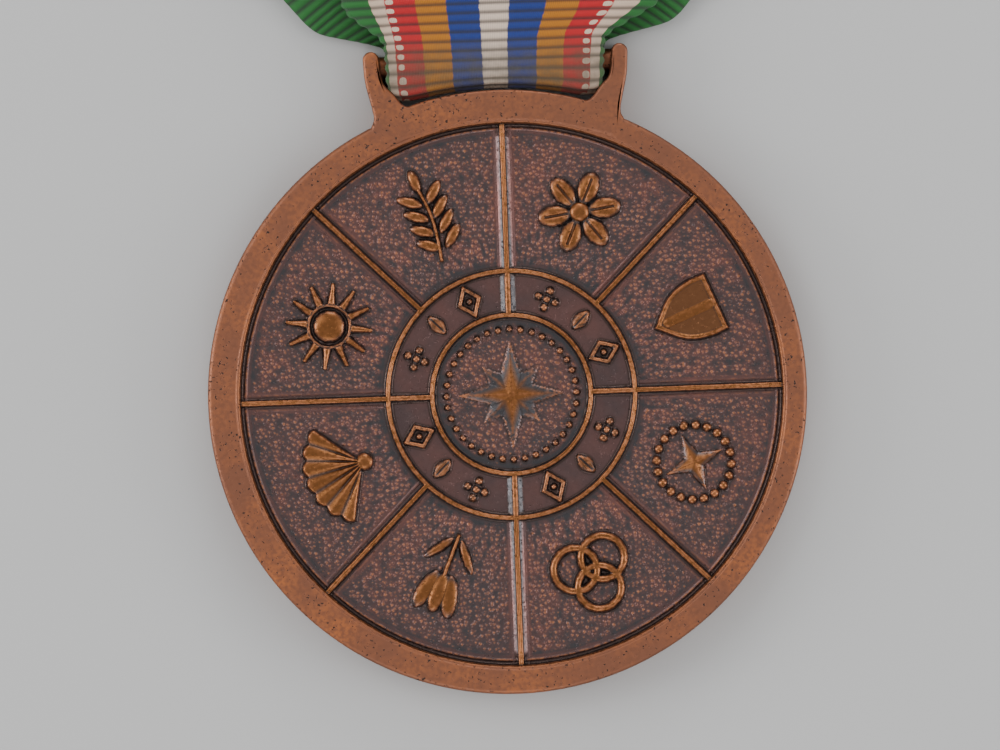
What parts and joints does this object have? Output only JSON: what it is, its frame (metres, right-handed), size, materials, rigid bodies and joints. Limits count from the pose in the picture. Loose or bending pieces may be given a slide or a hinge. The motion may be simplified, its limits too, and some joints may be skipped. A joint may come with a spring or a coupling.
{
  "type": "service medal",
  "caption": "Round struck bronze medal with a raised wheel of emblems, a loop, a striped looped ribbon, and a pin brooch with a turning lock.",
  "frame": {"origin": "on the surface that the medal lies on, under the middle of its bounding box", "axes": "+Z out of the struck face, +Y from the disc up the ribbon to the brooch, +X to the right of someone looking at the face"},
  "size_m": [0.0418, 0.088, 0.0065],
  "materials": {
    "struck_bronze": "aged copper-brown bronze, darkened in the sunk fields, worn bright on the ridges",
    "ribbon_weave": "cross-ribbed silk weave in green, white, red, gold and blue stripes",
    "sewing_thread": "matt green thread",
    "brooch_brass": "dull aged brass",
    "pin_steel": "drawn steel wire, slightly worn"
  },
  "bodies": {
    "brooch": {"brooch_rod": "brooch_brass", "hinge_bracket": "brooch_brass", "hinge_rivet": "pin_steel", "catch_housing": "brooch_brass"},
    "ribbon": {"ribbon": "ribbon_weave", "seam_stitches": "sewing_thread"},
    "pendant": {"medal_disc": "struck_bronze"},
    "pin": {"pin_stem": "pin_steel"},
    "lock": {"catch_lock": "brooch_brass"}
  },
  "joints": [
    {"name": "ribbon_swing", "type": "hinge", "parent": "brooch", "child": "ribbon", "pos_m": [0, 0.04189, 0.00465], "axis": [-1, 0, 0], "range_deg": [-35, 90]},
    {"name": "pendant_swing", "type": "hinge", "parent": "ribbon", "child": "pendant", "pos_m": [0, -0.00191, 0.0014], "axis": [-1, 0, 0], "range_deg": [-90, 90]},
    {"name": "pin_open", "type": "hinge", "parent": "brooch", "child": "pin", "pos_m": [-0.0196, 0.04189, 0.0017], "axis": [0, 1, 0], "range_deg": [0, 80]},
    {"name": "lock_turn", "type": "hinge", "parent": "brooch", "child": "lock", "pos_m": [0.0202, 0.04189, 0.0017], "axis": [-1, 0, 0], "range_deg": [0, 100]}
  ]
}
